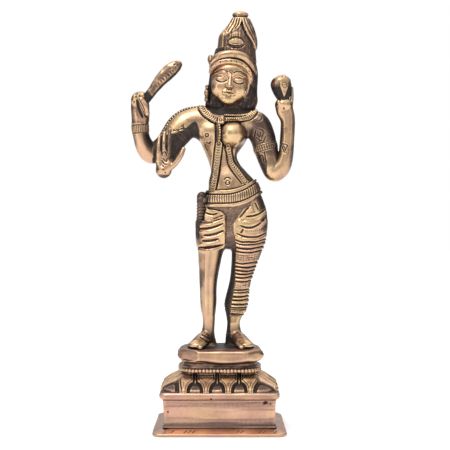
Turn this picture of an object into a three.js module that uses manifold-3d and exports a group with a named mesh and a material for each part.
// A small cast brass statue: Ardhanarishvara, half god and half goddess, standing on a lotus pedestal.
// The figure's right half (-X) is male and has two arms, the left half (+X) is female and has one.
// Millimetres, +Z up, the figure faces -Y. The castings are modelled one by one and meet across a
// brazing gap. Tenons under the feet hold the figure to the hollow pedestal.

import * as THREE from 'three';
import { mergeVertices } from 'three/addons/utils/BufferGeometryUtils.js';
import Module from 'manifold-3d';

const wasm = await Module();
wasm.setup();

// ---------------------------------------------------------------- driving dimensions

const GAP = 0.3; // brazing gap between two castings
const RELIEF = 1.1; // how far an ornament stands off the body under it
const WALL = 3; // thickness of the hollow pedestal's walls

const FOOT_HALF = [31.7, 26]; // half sizes of the flared foot, in X and Y
const BLOCK_HALF = [26.6, 21.4];
const CORNICE_HALF = [28.6, 23.4];
const LOTUS_TOP_HALF = [19.2, 15.6];
const CAP_HALF = [20.4, 16.6];

const FOOT_TOP = 3.4; // heights of the pedestal's tiers
const BLOCK_TOP = 16.3;
const CORNICE_TOP = 19.9;
const LOTUS_TOP = 28.2;
const BEADS_TOP = 30.4;
const CAP_TOP = 38.9;

const PETALS = 15;
const TENON_RADIUS = 1.8;
const TENON_DEPTH = 11; // the tenons reach through the cap into the hollow under it
const RIVET_RADIUS = 2.9;
const RIVET_HEIGHT = 1.2;

const LEG_SEAM = 87.2; // heights of the seams between the body's castings
const NECK_SEAM = 156.2;
const CROWN_SEAM = 182.4;
const WAIST_SEAM = [6.4, 0, 112]; // a point on the sloping seam under the girdle
const WAIST_SLOPE = 0.25; // the girdle rises towards the figure's left

const SIDE = [1, 0, 0];
const FRONT = [0, -1, 0];
const UP = [0, 0, 1];

// ---------------------------------------------------------------- stations: [x, y, z, half width, half depth]

const TRUNK = [
  [6.4, 1, 84, 15.6, 6.4], [6.3, 1, 94, 16.9, 8], [6.4, 1, 101, 17.2, 8.4], [6.6, 1, 107, 16.2, 8.2],
  [7, 0.8, 113, 13.7, 7.4], [6.2, 0.4, 120.8, 10.8, 6.5], [4.4, 0.2, 124.7, 8.6, 6], [1.8, 0, 130.5, 7.4, 5.8],
  [1, 0, 134.5, 8.4, 6], [1.6, 0, 139, 10.8, 6.5], [1.8, 0.2, 145.4, 12.8, 7], [2.6, 0.6, 150.6, 13.4, 6.4],
  [4.4, 1, 154.6, 9.6, 5.4], [5.4, 0.6, 158.6, 5.2, 5],
];
const RIGHT_LEG = [
  [-4.3, 0, 96, 7, 7.4], [-4.3, 0, 87.3, 6.7, 7], [-4.7, -0.2, 81.2, 6, 6.4], [-5.2, -0.6, 74, 5, 5.6],
  [-5.9, -0.4, 63.5, 4, 4.8], [-5.8, 0.4, 55, 3.8, 4.7], [-5.5, 1, 49.5, 3, 3.6], [-5.6, 1.4, 45.2, 3.2, 3.6],
  [-5.8, 1.2, 40.6, 3.6, 4.4],
];
const LEFT_LEG = [
  [13.6, 0, 96, 8.2, 7.8], [13.3, 0, 87.3, 7.9, 7.6], [11.7, -0.2, 77, 6.2, 6.6], [9.6, -0.4, 66.6, 5.3, 5.8],
  [8.1, 0.2, 59.2, 5.6, 5.8], [7.2, 0.8, 53.8, 4, 4.8], [6.9, 1.2, 48.4, 3.3, 3.8], [7.1, 1.4, 44.6, 3.4, 3.8],
  [7.3, 1.2, 40.6, 3.8, 4.4],
];
const RIGHT_FOOT = [[-4.9, 4.6, 41.2, 2.4, 2.1], [-6, 1, 41.8, 3.1, 2.8], [-9.2, -5, 41, 3.6, 2], [-12, -9.6, 40.3, 3.8, 1.3]];
const LEFT_FOOT = [[6.4, 4.6, 41.2, 2.4, 2.1], [7.4, 1, 41.8, 3.1, 2.8], [10.4, -5, 41, 3.6, 2], [13, -9.6, 40.3, 3.8, 1.3]];

const RIGHT_FRONT_UPPER_ARM = [
  [-8.4, -0.4, 149.6, 6.2, 5.2], [-14.6, -1, 148, 6.4, 5], [-20, -1.6, 143.8, 6.2, 4.9], [-23.6, -2.2, 138.6, 5.6, 4.7],
  [-26.6, -3, 130.4, 4.3, 4.4],
];
const RIGHT_FOREARM = [[-26.6, -2.4, 130.6, 4.2, 4.2], [-27.2, -9, 129.6, 3.8, 3.6], [-27.3, -16.6, 128, 3.1, 2.9]];
const RIGHT_REAR_UPPER_ARM = [
  [-9, 6.4, 152.6, 4.3, 3.7], [-16, 7.4, 152, 4.3, 3.8], [-22.2, 7.9, 147.8, 4.4, 3.9], [-26.8, 8, 140, 4.6, 4],
  [-31.6, 8, 133.8, 4.6, 4.1], [-35.6, 7.6, 134.8, 4.2, 4],
];
const RIGHT_REAR_FOREARM = [
  [-32.4, 8, 133.6, 4.4, 4.1], [-36.8, 7.4, 136.4, 4.3, 4], [-39.2, 6.6, 141.4, 4.1, 3.9], [-39.8, 5.6, 147.6, 3.9, 3.7],
  [-39.4, 4.6, 152.6, 3.6, 3.2], [-39.5, 4, 158.5, 4.3, 2.9],
];
const LEFT_UPPER_ARM = [
  [14.4, 0, 149.8, 5.4, 5.2], [18.6, 0, 147.4, 5.7, 5.3], [20.9, -0.2, 142, 5.9, 5.3], [22.7, -0.5, 136, 5.6, 5],
  [24.8, -0.9, 129.4, 5.2, 4.8], [27.4, -1.4, 125.4, 4.8, 4.6],
];
const LEFT_FOREARM = [
  [27, -1.4, 126, 4.9, 4.7], [31.2, -2, 128.6, 4.6, 4.4], [33, -2.6, 135.5, 3.8, 3.8], [33.3, -3, 142.9, 3.5, 3.5],
  [33.4, -3.2, 149.3, 3.2, 3.1], [32, -3.4, 154.4, 4, 2.8], [30.9, -3.6, 158, 3.9, 2.6],
];
const SKULL = [
  [5.5, 0.4, 154, 4.8, 5], [5.6, 0.6, 159, 6.6, 6.4], [5.7, -0.4, 164, 9.2, 8.8], [6, -0.6, 170, 10.2, 9.8], [6.6, 0.2, 177, 10.2, 9.6],
  [7.2, 0.6, 184, 9.6, 9],
];
const HAIR = [
  [5.6, 3.6, 153, 12.4, 5.4], [5.4, 3.8, 158, 13.2, 6], [5.8, 3.4, 166, 13.3, 7.6], [6.4, 2.8, 174, 12.4, 8.2], [7, 2, 180, 11, 8.2],
  [7.4, 1, 186, 9.4, 8],
];
const CROWN = [
  [7.4, 0.8, 181, 9.6, 9.2], [7.8, 0.8, 186, 9.4, 8.8], [8.5, 1, 190, 9, 8.2], [9, 1, 194.4, 7.6, 7], [9.6, 1, 198.6, 5.2, 5], [9.9, 1, 200.6, 3.6, 3.4],
];
const CLUB = [
  [-40.6, 1.4, 155.4, 1.8, 1.8], [-36.6, 1.6, 160, 2.3, 1.8], [-32.6, 2, 164.6, 2.7, 1.8], [-27.8, 2.6, 170.4, 3.2, 1.8], [-23.4, 3, 175.8, 2.7, 1.6],
  [-20.6, 3.2, 178.6, 1.5, 1.2],
];
const BUD = [[30.6, -3.6, 156.6, 2, 1.9], [30.7, -3.8, 160.6, 3.3, 3], [30.5, -3.8, 165.4, 4.9, 4.3], [30.4, -3.6, 169.4, 4.3, 3.8], [30.4, -3.4, 172.2, 1.8, 1.6]];
const SASH = [[-10.6, 1.8, 113.4, 1.6, 1.8], [-12.2, 1.6, 109.4, 2.2, 2.6], [-12.9, 1.4, 102, 1.9, 3], [-13.2, 1.2, 93, 1.7, 2.8], [-12.2, 0.8, 88.6, 1.3, 2.2]];

// ---------------------------------------------------------------- solids

// A closed geometry as a solid. Triangles with two corners at one point are dropped.
function solid(geometry) {
  const g = (geometry.index ? geometry.toNonIndexed() : geometry.clone());
  g.deleteAttribute('normal');
  g.deleteAttribute('uv');
  const merged = mergeVertices(g, 1e-4);
  const corners = merged.index.array;
  const kept = [];
  for (let i = 0; i < corners.length; i += 3) {
    const [a, b, c] = corners.slice(i, i + 3);
    if (a !== b && b !== c && c !== a) kept.push(a, b, c);
  }
  const mesh = (list) => new wasm.Mesh({ numProp: 3, vertProperties: merged.attributes.position.array, triVerts: new Uint32Array(list) });
  const made = new wasm.Manifold(mesh(kept));
  return made.volume() < 0 ? new wasm.Manifold(mesh(kept.reverse())) : made;
}

function joined(...solids) {
  return solids.reduce((all, next) => all.add(next));
}

function placed(geometry, [x, y, z], [rx, ry, rz] = [0, 0, 0]) {
  const turn = new THREE.Matrix4().makeRotationFromEuler(new THREE.Euler(rx, ry, rz));
  return solid(geometry.applyMatrix4(turn.setPosition(x, y, z)));
}

function ball([x, y, z], [rx, ry, rz], sides = 10, turned) {
  const geometry = new THREE.SphereGeometry(1, sides, Math.ceil(sides * 0.6)).scale(rx, ry, rz);
  return placed(geometry, [x, y, z], turned);
}

// A closed tube through stations. Each section stands square to the tube's line, with its half depth
// measured towards `facing`. `from` and `to` keep a share of the line, and `grow` thickens it.
function limb(stations, { grow = 0, from = 0, to = 1, sides = 10, rings = 2, facing = FRONT } = {}) {
  const through = (values) => new THREE.CatmullRomCurve3(values.map((v) => new THREE.Vector3(...v)));
  const line = through(stations.map(([x, y, z]) => [x, y, z]));
  const size = through(stations.map(([, , , width, depth]) => [width, depth, 0]));
  const steps = Math.max(2, Math.round((stations.length - 1) * rings * (to - from)));
  const geometry = new THREE.CylinderGeometry(1, 1, 1, sides, steps);
  const position = geometry.attributes.position;
  const towards = new THREE.Vector3(...facing);
  for (let i = 0; i < position.count; i += 1) {
    const share = from + (to - from) * (position.getY(i) + 0.5);
    const tangent = line.getTangent(share);
    const across = new THREE.Vector3().crossVectors(tangent, towards).normalize();
    const deep = new THREE.Vector3().crossVectors(across, tangent);
    const half = size.getPoint(share);
    const point = line.getPoint(share)
      .addScaledVector(across, position.getX(i) * (half.x + grow))
      .addScaledVector(deep, position.getZ(i) * (half.y + grow));
    position.setXYZ(i, point.x, point.y, point.z);
  }
  return solid(geometry);
}

// A band worn round a limb, clear of it by the gap.
function band(stations, from, to, options = {}) {
  const inner = { ...options, grow: GAP };
  const outer = { ...options, grow: RELIEF };
  return limb(stations, { ...outer, from, to }).subtract(limb(stations, { ...inner, from: from - 0.04, to: to + 0.04 }));
}

// The half-space on one side of a plane through `point`, as a large block.
function beyond(point, normal) {
  const reach = 600;
  const geometry = new THREE.BoxGeometry(reach, reach, reach).translate(0, 0, reach / 2);
  const turn = new THREE.Quaternion().setFromUnitVectors(new THREE.Vector3(...UP), new THREE.Vector3(...normal).normalize());
  return solid(geometry.applyQuaternion(turn).translate(...point));
}

// What a seam takes away from the casting under it, and from the casting over it.
const above = (z) => beyond([0, 0, z - GAP / 2], UP);
const below = (z) => beyond([0, 0, z + GAP / 2], [0, 0, -1]);

// A rounded rectangle's outline.
function roundedRectangle([x, y], corner) {
  const shape = new THREE.Shape();
  shape.moveTo(x, y - corner).absarc(x - corner, y - corner, corner, 0, Math.PI / 2);
  shape.absarc(corner - x, y - corner, corner, Math.PI / 2, Math.PI);
  shape.absarc(corner - x, corner - y, corner, Math.PI, 1.5 * Math.PI);
  shape.absarc(x - corner, corner - y, corner, 1.5 * Math.PI, 2 * Math.PI);
  shape.closePath();
  return shape;
}

// A slab with a moulded edge: profile lists [height, how far the edge stands in from the full size].
function mouldedSlab(half, corner, profile, arcPoints = 3) {
  const geometry = new THREE.ExtrudeGeometry(roundedRectangle(half, corner), {
    depth: 1, steps: profile.length - 1, bevelEnabled: false, curveSegments: arcPoints,
  });
  const position = geometry.attributes.position;
  for (let i = 0; i < position.count; i += 1) {
    const [z, inset] = profile[Math.round(position.getZ(i) * (profile.length - 1))];
    position.setXYZ(i, position.getX(i) * (1 - inset / half[0]), position.getY(i) * (1 - inset / half[1]), z);
  }
  return solid(geometry);
}

const hollow = (half, low, high) => mouldedSlab(half.map((v) => v - WALL), 2, [[low, 0], [high, 0]], 1);

// ---------------------------------------------------------------- the pedestal's castings

function footPlate() {
  const slope = FOOT_HALF[0] - BLOCK_HALF[0];
  const plate = mouldedSlab(FOOT_HALF, 5, [[0, 0.5], [0.5, 0], [1.3, 0], [2, 1.4], [FOOT_TOP, slope - 0.4]]);
  return plate.subtract(hollow(BLOCK_HALF, -1, FOOT_TOP + 1));
}

function plinthBlock() {
  return mouldedSlab(BLOCK_HALF, 2.2, [[FOOT_TOP, 0], [FOOT_TOP + 0.8, 0.3], [BLOCK_TOP - 0.8, 0.3], [BLOCK_TOP, 0]])
    .subtract(hollow(BLOCK_HALF, FOOT_TOP - 1, BLOCK_TOP + 1));
}

function plinthCornice() {
  return mouldedSlab(CORNICE_HALF, 3.4, [[BLOCK_TOP, 1], [BLOCK_TOP + 0.9, 0], [CORNICE_TOP - 0.9, 0], [CORNICE_TOP, 0.8]])
    .subtract(hollow(BLOCK_HALF, BLOCK_TOP - 1, CORNICE_TOP + 1));
}

// How far the lotus's side stands in from its widest, at a share of its height.
function lotusInset(share) {
  const spread = Math.cos((share * Math.PI) / 2) ** 0.8;
  return (CORNICE_HALF[0] - 2.2 - LOTUS_TOP_HALF[0]) * (1 - spread);
}

function lotusTier() {
  const layers = [0, 0.25, 0.5, 0.75, 1];
  const height = LOTUS_TOP - CORNICE_TOP;
  const full = CORNICE_HALF.map((v) => v - 2.2);
  let tier = mouldedSlab(full, 9, layers.map((s) => [CORNICE_TOP + height * s, lotusInset(s)]), 5);
  const middle = 0.4;
  const outline = roundedRectangle(full.map((v) => v - lotusInset(middle)), 9);
  for (let i = 0; i < PETALS; i += 1) {
    const share = (i + 0.5) / PETALS;
    const at = outline.getPointAt(share);
    const along = outline.getTangentAt(share);
    const outward = Math.atan2(-along.x, along.y);
    const geometry = new THREE.SphereGeometry(1, 7, 5).scale(1.9, 4.4, height * 0.6).rotateY(-0.6).rotateZ(outward);
    tier = tier.add(placed(geometry, [at.x, at.y, CORNICE_TOP + height * middle]));
  }
  const room = mouldedSlab(CORNICE_HALF.map((v) => v - 0.6), 6, [[CORNICE_TOP, 0], [LOTUS_TOP, 0]]);
  const hollowTop = LOTUS_TOP_HALF.map((v) => v - 1);
  return tier.intersect(room).subtract(hollow(hollowTop, CORNICE_TOP - 1, LOTUS_TOP + 1));
}

function beadRing() {
  const [x, y] = LOTUS_TOP_HALF;
  const radius = (BEADS_TOP - LOTUS_TOP) / 2;
  const ring = new THREE.TorusGeometry(1, radius / x, 6, 32);
  const position = ring.attributes.position;
  for (let i = 0; i < position.count; i += 1) {
    position.setXYZ(i, position.getX(i) * x, position.getY(i) * y, LOTUS_TOP + radius + position.getZ(i) * x);
  }
  const inner = mouldedSlab([x - 0.4, y - 0.4], 9, [[LOTUS_TOP, 0], [BEADS_TOP, 0]], 5);
  return joined(solid(ring), inner).subtract(hollow(LOTUS_TOP_HALF.map((v) => v - 1), LOTUS_TOP - 1, BEADS_TOP + 1));
}

// The two tenons' places, under the ankles.
const TENONS = [[-6.6, 0], [8, 0]];

function pedestalCap() {
  const edge = [[BEADS_TOP, 3.2], [BEADS_TOP + 1, 2.8], [BEADS_TOP + 2.4, 0.8], [BEADS_TOP + 4, 0], [CAP_TOP - 2, 0.2], [CAP_TOP - 0.7, 1.2], [CAP_TOP, 2.4]];
  const cap = mouldedSlab(CAP_HALF, 10, edge, 3);
  const holes = TENONS.map(([x, y]) => placed(
    new THREE.CylinderGeometry(TENON_RADIUS + GAP, TENON_RADIUS + GAP, 30, 16).rotateX(Math.PI / 2), [x, y, CAP_TOP],
  ));
  return cap.subtract(joined(...holes));
}

// A leg's tenon, with the head that is riveted over under the cap.
function tenon([x, y]) {
  const pin = new THREE.CylinderGeometry(TENON_RADIUS, TENON_RADIUS, TENON_DEPTH, 12).rotateX(Math.PI / 2);
  const head = new THREE.CylinderGeometry(RIVET_RADIUS, RIVET_RADIUS, RIVET_HEIGHT, 12).rotateX(Math.PI / 2);
  const top = CAP_TOP + 1.5;
  return joined(
    placed(pin, [x, y, top - TENON_DEPTH / 2]),
    placed(head, [x, y, BEADS_TOP - GAP - RIVET_HEIGHT / 2]),
  );
}

// ---------------------------------------------------------------- the figure's castings

function foot(stations, side) {
  const toes = [0, 1, 2, 3, 4].map((i) => {
    const [x, y, z] = stations[stations.length - 1];
    const size = i === 0 ? 1.3 : 1 - 0.08 * i;
    return ball([x + side * (-2.5 + 1.35 * i), y - 1.4 + 0.55 * i, z - 0.35], [size * 0.82, size * 1.9, size * 0.9], 6);
  });
  return joined(limb(stations, { facing: UP, sides: 10 }), ball(stations[0].slice(0, 3), [2.4, 2.2, 2.1], 10), ...toes);
}

function standing(leg) {
  const floor = beyond([0, 0, CAP_TOP + GAP], [0, 0, -1]);
  return leg.subtract(floor);
}

function rightLeg() {
  return joined(standing(joined(limb(RIGHT_LEG), foot(RIGHT_FOOT, -1))).subtract(above(LEG_SEAM)), tenon(TENONS[0]));
}

function leftLeg() {
  return joined(standing(joined(limb(LEFT_LEG), foot(LEFT_FOOT, 1))).subtract(above(LEG_SEAM)), tenon(TENONS[1]));
}

// Trunk, thighs and shoulders as one form, which the seams then part.
function body(grow = 0) {
  return joined(
    limb(TRUNK, { grow, sides: 16 }),
    limb(RIGHT_LEG, { grow, to: 0.25 }),
    limb(LEFT_LEG, { grow, to: 0.25 }),
    ball([-9.6, 0, 149.6], [6 + grow, 5.8 + grow, 5.8 + grow], 12),
    ball([15.2, 0, 149.4], [5.8 + grow, 5.6 + grow, 5.6 + grow], 12),
  );
}

function hips() {
  return body().subtract(below(LEG_SEAM)).subtract(beyond(WAIST_SEAM, [-WAIST_SLOPE, 0, 1]));
}

function bust(grow = 0) {
  return ball([7.9, -5.6, 143], [5.9 + grow, 5.2 + grow, 5.7 + grow], 12);
}

function torso() {
  const [x, y, z] = WAIST_SEAM;
  return joined(body(), bust()).subtract(beyond([x, y, z + GAP], [WAIST_SLOPE, 0, -1])).subtract(above(NECK_SEAM));
}

function face(grow = 0) {
  return joined(
    ball([5.7, -3.6, 170.2], [9.7 + grow, 6.8 + grow, 10.6 + grow], 14),
    ball([5.4, -9.6, 168.6], [1.2 + grow, 1.6 + grow, 2.9 + grow], 8),
  );
}

function head(grow = 0) {
  return joined(limb(SKULL, { grow }), limb(HAIR, { grow, sides: 16 }), face(grow));
}

function crown() {
  const knob = ball([9.9, 1, 201.4], [3.6, 3.5, 1.5], 14);
  return joined(limb(CROWN, { sides: 16 }), knob).subtract(below(CROWN_SEAM));
}

// A hand whose fingers start at the knuckles and follow given tips.
function finger(root, tip, width) {
  const middle = root.map((v, i) => (v + tip[i]) / 2 + (i === 1 ? -0.5 : 0));
  const stations = [[...root, width, width], [...middle, width, width], [...tip, width * 0.8, width * 0.8]];
  return joined(limb(stations, { sides: 6 }), ball(tip, [width * 0.8, width * 0.8, width * 0.9], 6));
}

function rightFrontHand() {
  const wrist = [-27.3, -16.9, 128];
  const palm = limb([[-26.7, -19.4, 125.4, 2.6, 1.7], [-26.6, -20, 129.4, 3.7, 1.7], [-25.9, -20, 134, 3.5, 1.4]], { sides: 12 });
  const heel = joined(ball([-26.9, -18.8, 127.4], [3, 2.4, 3], 10));
  const fingers = [[-28.3, 138.4], [-26.6, 141.4], [-24.5, 142.8], [-22.7, 140.8]].map(([x, z], i) => (
    finger([-28 + 1.55 * i, -20, 133], [x, -19.6, z], 0.95)
  ));
  const thumb = finger([-24.4, -20.4, 127.6], [-18.4, -20.6, 134.2], 1.15);
  return joined(palm, heel, ...fingers, thumb).subtract(beyond(wrist, [0, 1, 0]));
}

function rightFrontArm() {
  const arm = joined(limb(RIGHT_FRONT_UPPER_ARM), limb(RIGHT_FOREARM, { facing: UP }), ball([-27, -3, 130.2], [4.4, 4.4, 4.4], 10));
  return arm.subtract(body(GAP)).subtract(rightRearArm(GAP)).subtract(beyond([0, -16.9 + GAP, 0], FRONT));
}

function rightRearArm(grow = 0) {
  const fist = joined(ball([-39.6, 2.6, 159.6], [4.4 + grow, 3.4 + grow, 4.3 + grow], 10));
  const arm = joined(
    limb(RIGHT_REAR_UPPER_ARM, { grow }),
    limb(RIGHT_REAR_FOREARM, { grow }),
    ball([-34, 7.8, 134.2], [4.3 + grow, 4 + grow, 4.3 + grow], 10),
    fist,
  );
  return arm.subtract(beyond([-9 + grow, 0, 0], SIDE));
}

function leftArm() {
  const hand = joined(ball([31.2, -3.6, 157.2], [4.1, 3, 3.4], 12), finger([34.2, -3.4, 157], [36, -3.4, 168.6], 0.9));
  return joined(limb(LEFT_UPPER_ARM), limb(LEFT_FOREARM), ball([27.8, -1.4, 125.2], [4.8, 4.6, 4.4], 10), hand)
    .subtract(body(GAP));
}

const club = (grow = 0) => limb(CLUB, { grow, sides: 10 });
const lotusBud = (grow = 0) => joined(limb(BUD, { grow }), ball([30.4, -3.6, 170.6], [2.9 + grow, 2.6 + grow, 2.2 + grow], 10));

// ---------------------------------------------------------------- ornaments laid on the figure

// A closed loop of round cord through points, clear of nothing by itself.
function loop(points, radius, closed = true, steps = 32) {
  const path = new THREE.CatmullRomCurve3(points.map((p) => new THREE.Vector3(...p)), closed);
  const section = new THREE.Shape().absarc(0, 0, radius, 0, 2 * Math.PI);
  return solid(new THREE.ExtrudeGeometry(section, { steps, extrudePath: path, curveSegments: 4 }));
}

function necklace() {
  const row = loop([
    [-9.2, -3.4, 155.2], [-5, -6, 152.4], [1, -7.4, 150], [7, -7.4, 150.2], [12.5, -6.4, 151.4], [17.2, -3.4, 153.2],
  ], 1.7, false, 14);
  const pendant = ball([1.4, -8.2, 149.4], [1.8, 1.2, 2], 8);
  return joined(row, pendant).subtract(body(GAP)).subtract(head(GAP)).subtract(bust(GAP));
}

function girdle() {
  return limb(TRUNK, { grow: RELIEF, sides: 16, rings: 3 })
    .intersect(beyond([6, 0, 108.6], [-WAIST_SLOPE, 0, 1]))
    .intersect(beyond([6, 0, 114.4], [WAIST_SLOPE, 0, -1]))
    .subtract(body(GAP));
}

function sacredThread() {
  const hanging = loop([[0.6, -7.4, 148.6], [-0.2, -7.6, 142], [-0.8, -7.6, 134], [-1.9, -7.2, 124], [-2.7, -7.4, 114.5]], 1.5, false, 12);
  const strap = loop([[3.6, -7.8, 136.4], [4.6, -6.8, 131], [7.4, -6.9, 126], [11.2, -6.6, 121.6], [15, -4, 118.4]], 1.1, false, 10);
  return joined(hanging, strap, loop([[-1, -7.3, 137.2], [3.4, -7.8, 136.6]], 0.8, false, 2))
    .subtract(body(GAP)).subtract(bust(GAP)).subtract(girdle()).subtract(necklace());
}

const hipSash = () => limb(SASH, { sides: 8 }).subtract(body(GAP));

function tiara() {
  const outer = limb(SKULL, { grow: RELIEF + 0.7, sides: 16 });
  return joined(outer, face(RELIEF + 0.5))
    .intersect(beyond([6, 0, 178], [-0.1, 0.22, 1])).subtract(above(CROWN_SEAM))
    .subtract(head(GAP)).intersect(beyond([0, 3.4, 0], FRONT)).subtract(earFlower(GAP));
}

const earPendant = () => joined(ball([-8.2, -0.4, 162.6], [1.1, 1.4, 3], 10), ball([-8, -0.4, 166.4], [0.9, 1.2, 1.2], 8)).subtract(head(GAP));
const earFlower = (grow = 0) => ball([-6.2, -1.6, 178.6], [2 + grow, 2.2 + grow, 2.6 + grow], 10).subtract(head(GAP));

// ---------------------------------------------------------------- the statue

const BRASS = { color: 0xb8894f, roughness: 0.34, metalness: 1 };
const DARK_BRASS = { color: 0x6a4d33, roughness: 0.5, metalness: 1 };

const handsAndArms = {
  right_front_arm: rightFrontArm(),
  right_rear_arm: rightRearArm().subtract(body(GAP)),
  left_arm: leftArm().subtract(lotusBud(GAP)).subtract(bust(GAP)),
};

const castings = {
  foot_plate: [footPlate(), BRASS],
  plinth_block: [plinthBlock(), BRASS],
  plinth_cornice: [plinthCornice(), BRASS],
  lotus_tier: [lotusTier(), BRASS],
  bead_ring: [beadRing(), BRASS],
  pedestal_cap: [pedestalCap(), BRASS],
  right_leg: [rightLeg(), BRASS],
  left_leg: [leftLeg(), BRASS],
  hips: [hips(), BRASS],
  torso: [torso(), BRASS],
  head: [head().subtract(below(NECK_SEAM)).subtract(above(CROWN_SEAM)), BRASS],
  crown: [crown(), BRASS],
  right_front_arm: [handsAndArms.right_front_arm, BRASS],
  right_front_hand: [rightFrontHand(), BRASS],
  right_rear_arm: [handsAndArms.right_rear_arm.subtract(club(GAP)), BRASS],
  left_arm: [handsAndArms.left_arm, BRASS],
  club: [club(), BRASS],
  lotus_bud: [lotusBud(), BRASS],
  necklace: [necklace(), DARK_BRASS],
  girdle: [girdle(), DARK_BRASS],
  sacred_thread: [sacredThread(), DARK_BRASS],
  hip_sash: [hipSash().subtract(girdle()), DARK_BRASS],
  tiara: [tiara(), DARK_BRASS],
  ear_pendant: [earPendant(), DARK_BRASS],
  ear_flower: [earFlower(), DARK_BRASS],
  right_armlet: [band(RIGHT_FRONT_UPPER_ARM, 0.5, 0.62).subtract(rightRearArm(GAP)), DARK_BRASS],
  left_armlet: [band(LEFT_UPPER_ARM, 0.54, 0.66).subtract(handsAndArms.left_arm), DARK_BRASS],
  rear_bracelet: [band(RIGHT_REAR_FOREARM, 0.5, 0.64), DARK_BRASS],
  right_anklet: [band(RIGHT_LEG, 0.86, 0.91, {}), DARK_BRASS],
  left_anklet: [band(LEFT_LEG, 0.85, 0.9, {}), DARK_BRASS],
};

function meshOf(name, [made, look]) {
  const data = made.getMesh();
  const geometry = new THREE.BufferGeometry();
  geometry.setAttribute('position', new THREE.BufferAttribute(data.vertProperties, 3));
  geometry.setIndex(new THREE.BufferAttribute(data.triVerts, 1));
  const mesh = new THREE.Mesh(geometry, new THREE.MeshStandardMaterial(look));
  mesh.name = name;
  return mesh;
}

// The origin is under the middle of the whole object.
const statue = new THREE.Group();
Object.entries(castings).forEach(([name, casting]) => statue.add(meshOf(name, casting)));
const middle = new THREE.Box3().setFromObject(statue).getCenter(new THREE.Vector3());
statue.position.set(-middle.x, -middle.y, 0);

const root = new THREE.Group();
root.add(statue);

export default root;
